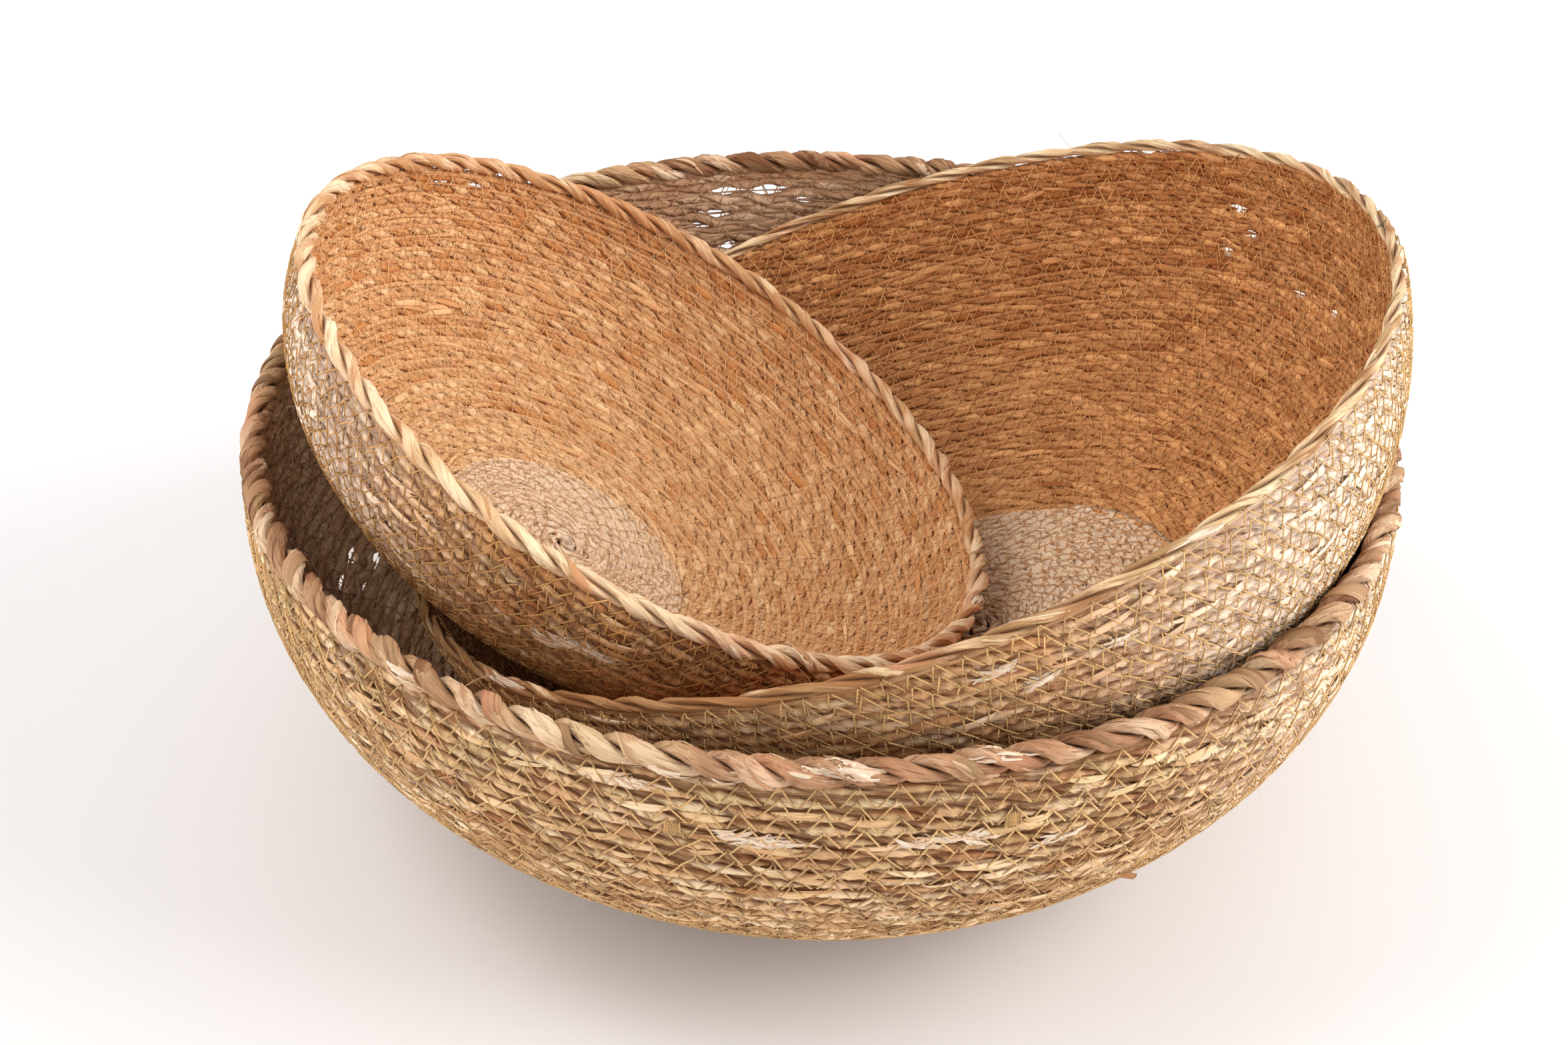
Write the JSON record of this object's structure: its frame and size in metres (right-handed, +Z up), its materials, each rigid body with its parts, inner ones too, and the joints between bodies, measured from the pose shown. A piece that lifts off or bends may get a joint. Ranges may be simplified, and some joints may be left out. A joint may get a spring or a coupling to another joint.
{
  "type": "nested coiled seagrass bowl set",
  "caption": "Nested round seagrass bowls, coiled and sewn with thread, with twisted rims, leaning one inside the other.",
  "frame": {"origin": "middle of the large bowl's flat underside, on the surface that it stands on", "axes": "+Z up along the large bowl's axis, the small bowl's low side towards +X and the picture's near side towards -Y"},
  "size_m": [0.3574, 0.3574, 0.1867],
  "materials": {
    "straw_coil": "dry coiled seagrass, matt, streaked",
    "green_straw_coil": "dry coiled seagrass with a green tint, matt",
    "brown_coil": "dry coiled seagrass, orange brown inside, matt",
    "floor_coil": "fine tight seagrass coil, granular, matt",
    "tan_blade": "flattened seagrass blade, satin",
    "pale_blade": "pale flattened seagrass blade, satin"
  },
  "bodies": {
    "large_bowl": {"large_floor_coil": "floor_coil", "large_lower_wall_coil": "straw_coil", "large_middle_wall_coil": "straw_coil", "large_upper_wall_coil": "green_straw_coil", "large_rim_blade_a": "tan_blade", "large_rim_blade_b": "pale_blade"},
    "medium_bowl": {"medium_floor_coil": "floor_coil", "medium_lower_wall_coil": "brown_coil", "medium_upper_wall_coil": "brown_coil", "medium_rim_blade_a": "pale_blade", "medium_rim_blade_b": "pale_blade"},
    "small_bowl": {"small_floor_coil": "floor_coil", "small_lower_wall_coil": "straw_coil", "small_upper_wall_coil": "straw_coil", "small_rim_blade_a": "pale_blade", "small_rim_blade_b": "pale_blade"}
  },
  "joints": [
    {"name": "medium_bowl_lift", "type": "slide", "parent": "large_bowl", "child": "medium_bowl", "axis": [0, 0, 1], "range_m": [0, 0.15]},
    {"name": "small_bowl_lift", "type": "slide", "parent": "medium_bowl", "child": "small_bowl", "axis": [0, 0, 1], "range_m": [0, 0.18]}
  ]
}
